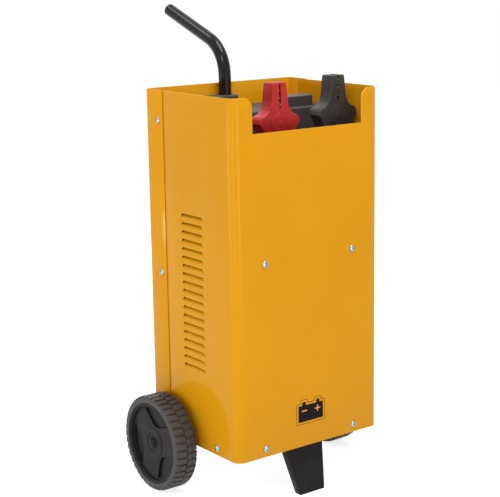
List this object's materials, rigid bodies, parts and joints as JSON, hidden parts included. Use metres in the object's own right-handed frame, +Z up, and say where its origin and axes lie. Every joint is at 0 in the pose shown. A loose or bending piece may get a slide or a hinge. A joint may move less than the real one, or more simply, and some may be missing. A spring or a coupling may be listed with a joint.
{
  "type": "wheeled battery charger",
  "caption": "Upright bent-sheet workshop battery charger on two wheels and a front foot, with a cranked tube handle, louvred sides and a top tray holding two sprung clamps.",
  "frame": {"origin": "On the floor, at the centre of the overall box in plan, under the casing.", "axes": "+Z up. +X to the right for someone who faces the front. The front panel with the opening over the tray faces -Y, and the handle reaches to +Y."},
  "size_m": [0.416, 0.4094, 0.8197],
  "materials": {
    "yellow_paint": "satin",
    "yellow_rear": "satin",
    "black_paint": "gloss",
    "zinc": "satin",
    "steel": "satin",
    "screws": "polished",
    "aluminium": "satin",
    "brass": "satin",
    "tyre": "matte",
    "wheel_plastic": "satin",
    "tray_plastic": "satin",
    "black_plastic": "satin",
    "gloss_black": "gloss",
    "red_plastic": "satin",
    "red_gloss": "gloss",
    "dial_white": "matte",
    "window": "clear",
    "copper_coil": "gloss",
    "iron": "matte"
  },
  "bodies": {
    "chassis": {"front_cover": "yellow_paint", "rear_cover": "yellow_rear", "base_pan": "zinc", "shelf": "zinc", "foot": "black_paint", "foot_bolts": "screws", "axle": "steel", "left_axle_block": "zinc", "right_axle_block": "zinc", "block_bolts": "screws", "spacer_sleeves": "zinc", "left_cap": "black_plastic", "right_cap": "black_plastic", "handle_tube": "black_paint", "handle_plug": "black_plastic", "upper_saddle": "zinc", "lower_saddle": "zinc", "saddle_bolts": "screws", "tray": "tray_plastic", "tray_posts": "zinc", "tray_screws": "screws", "lead_glands": "black_plastic", "control_plate": "black_paint", "meter_case": "black_plastic", "meter_dial": "dial_white", "meter_window": "window", "selector_body": "black_plastic", "rocker_frame": "black_plastic", "fuse_holder": "black_plastic", "fuse_cap": "black_plastic", "mains_gland": "black_plastic", "cover_screws": "screws", "transformer_core": "iron", "transformer_coil": "copper_coil", "core_feet": "zinc", "core_bolts": "screws", "heat_sink": "aluminium", "diodes": "steel"},
    "left_wheel": {"left_rim": "wheel_plastic", "left_tyre": "tyre"},
    "right_wheel": {"right_rim": "wheel_plastic", "right_tyre": "tyre"},
    "needle": {"meter_needle": "red_gloss"},
    "selector": {"selector_knob": "gloss_black"},
    "rocker": {"power_rocker": "red_gloss"},
    "red_clamp": {"red_lever": "red_plastic", "red_pin": "red_plastic", "red_spring": "steel", "red_teeth": "brass"},
    "red_jaw": {"red_moving_lever": "red_plastic", "red_moving_teeth": "brass"},
    "black_clamp": {"black_lever": "black_plastic", "black_pin": "black_plastic", "black_spring": "steel", "black_teeth": "brass"},
    "black_jaw": {"black_moving_lever": "black_plastic", "black_moving_teeth": "brass"}
  },
  "joints": [
    {"name": "left_wheel_spin", "type": "hinge", "parent": "chassis", "child": "left_wheel", "pos_m": [-0.18675, -0.01895, 0.083], "axis": [1, 0, 0], "continuous": true},
    {"name": "right_wheel_spin", "type": "hinge", "parent": "chassis", "child": "right_wheel", "pos_m": [0.18675, -0.01895, 0.083], "axis": [1, 0, 0], "continuous": true},
    {"name": "needle_swing", "type": "hinge", "parent": "chassis", "child": "needle", "pos_m": [-0.06, 0.05005, 0.525], "axis": [0, -1, 0], "range_deg": [0, 80], "stiffness_Nm_per_rad": 0.0002},
    {"name": "selector_turn", "type": "hinge", "parent": "chassis", "child": "selector", "pos_m": [0.06, 0.05305, 0.545], "axis": [0, 1, 0], "range_deg": [-60, 60]},
    {"name": "power_rock", "type": "hinge", "parent": "chassis", "child": "rocker", "pos_m": [-0.06, 0.04505, 0.487], "axis": [1, 0, 0], "range_deg": [0, 16]},
    {"name": "red_clamp_lift", "type": "slide", "parent": "chassis", "child": "red_clamp", "axis": [0, 0, 1], "range_m": [0, 0.22]},
    {"name": "red_jaw_open", "type": "hinge", "parent": "red_clamp", "child": "red_jaw", "pos_m": [-0.0192, -0.13695, 0.6307], "axis": [0, 1, 0], "range_deg": [0, 24], "stiffness_Nm_per_rad": 2, "springref_deg": -11.46},
    {"name": "black_clamp_lift", "type": "slide", "parent": "chassis", "child": "black_clamp", "axis": [0, 0, 1], "range_m": [0, 0.22]},
    {"name": "black_jaw_open", "type": "hinge", "parent": "black_clamp", "child": "black_jaw", "pos_m": [0.1064, -0.13695, 0.6355], "axis": [0, 1, 0], "range_deg": [0, 24], "stiffness_Nm_per_rad": 2, "springref_deg": -11.46}
  ]
}
